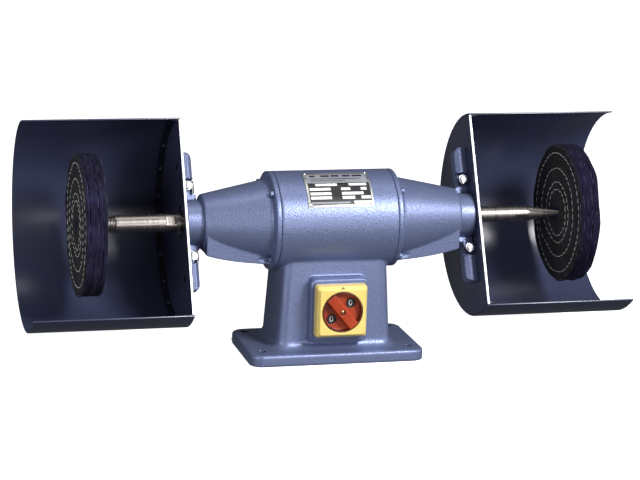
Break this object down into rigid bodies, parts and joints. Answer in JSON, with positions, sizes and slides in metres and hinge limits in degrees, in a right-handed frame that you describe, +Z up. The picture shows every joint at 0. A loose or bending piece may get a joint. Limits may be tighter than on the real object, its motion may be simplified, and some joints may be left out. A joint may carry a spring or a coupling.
{
  "type": "bench polishing grinder",
  "caption": "Bench grinder built as a double-ended polisher: cast motor stand, tapered spindles with cloth mops, tilting sheet hoods and a rotary switch.",
  "frame": {"origin": "on the flat underside of the stand, straight below the middle of the spindle", "axes": "+X along the spindle to the right end, -Y towards the switch, +Z up"},
  "size_m": [0.856, 0.245, 0.3324],
  "materials": {
    "casting_paint": "slate-blue hammered enamel, semi-gloss",
    "hood_paint": "dark navy gloss enamel on sheet steel",
    "zinc": "bright zinc plate",
    "spindle_steel": "turned and ground steel",
    "cover_steel": "plain rolled sheet",
    "bearing_steel": "ground steel",
    "lamination_steel": "stacked electrical sheet",
    "winding_copper": "varnished copper wire",
    "seal_rubber": "matt black rubber",
    "mop_cloth": "stitched indigo cotton, frayed at the rim",
    "nameplate_metal": "printed sheet with blank fields",
    "yellow_plastic": "moulded plastic, satin",
    "red_plastic": "moulded plastic, satin",
    "black_plastic": "moulded plastic"
  },
  "bodies": {
    "stand": {"housing": "casting_paint", "bottom_cover": "cover_steel", "cover_screw_1": "zinc", "cover_screw_2": "zinc", "cover_screw_3": "zinc", "cover_screw_4": "zinc", "left_end_shield": "casting_paint", "right_end_shield": "casting_paint", "switch_backplate": "casting_paint", "left_shield_bolt_1": "zinc", "left_shield_bolt_2": "zinc", "left_shield_bolt_3": "zinc", "left_shield_bolt_4": "zinc", "left_bearing": "bearing_steel", "left_shaft_seal": "seal_rubber", "left_end_winding": "winding_copper", "right_shield_bolt_1": "zinc", "right_shield_bolt_2": "zinc", "right_shield_bolt_3": "zinc", "right_shield_bolt_4": "zinc", "right_bearing": "bearing_steel", "right_shaft_seal": "seal_rubber", "right_end_winding": "winding_copper", "stator_core": "lamination_steel", "nameplate": "nameplate_metal", "switch_housing": "yellow_plastic", "switch_contact_block": "black_plastic", "terminal_block": "black_plastic", "cable_gland": "black_plastic", "nameplate_rivet_1": "zinc", "nameplate_rivet_2": "zinc", "nameplate_rivet_3": "zinc", "nameplate_rivet_4": "zinc"},
    "rotor": {"rotor_shaft": "spindle_steel", "rotor_core": "lamination_steel", "left_taper_spindle": "spindle_steel", "right_taper_spindle": "spindle_steel", "left_mop": "mop_cloth", "right_mop": "mop_cloth"},
    "switch_handle": {"switch_knob": "red_plastic", "switch_knob_screw": "zinc", "switch_shaft": "spindle_steel"},
    "left_hood": {"left_clamp_bar": "casting_paint", "left_clamp_cap": "casting_paint", "left_hood_shell": "hood_paint", "left_hood_plate": "hood_paint", "left_clamp_bolt_upper": "zinc", "left_plate_screw_upper": "hood_paint", "left_clamp_bolt_lower": "zinc", "left_plate_screw_lower": "hood_paint"},
    "right_hood": {"right_clamp_bar": "casting_paint", "right_clamp_cap": "casting_paint", "right_hood_shell": "hood_paint", "right_hood_plate": "hood_paint", "right_clamp_bolt_upper": "zinc", "right_plate_screw_upper": "hood_paint", "right_clamp_bolt_lower": "zinc", "right_plate_screw_lower": "hood_paint"}
  },
  "joints": [
    {"name": "rotor_spin", "type": "hinge", "parent": "stand", "child": "rotor", "pos_m": [0, 0, 0.19], "axis": [1, 0, 0], "continuous": true},
    {"name": "switch_turn", "type": "hinge", "parent": "stand", "child": "switch_handle", "pos_m": [0, -0.09, 0.077], "axis": [0, 1, 0], "range_deg": [0, 90]},
    {"name": "left_hood_tilt", "type": "hinge", "parent": "stand", "child": "left_hood", "pos_m": [-0.198, 0, 0.19], "axis": [1, 0, 0], "range_deg": [-40, 40]},
    {"name": "right_hood_tilt", "type": "hinge", "parent": "stand", "child": "right_hood", "pos_m": [0.198, 0, 0.19], "axis": [1, 0, 0], "range_deg": [-40, 40]}
  ]
}
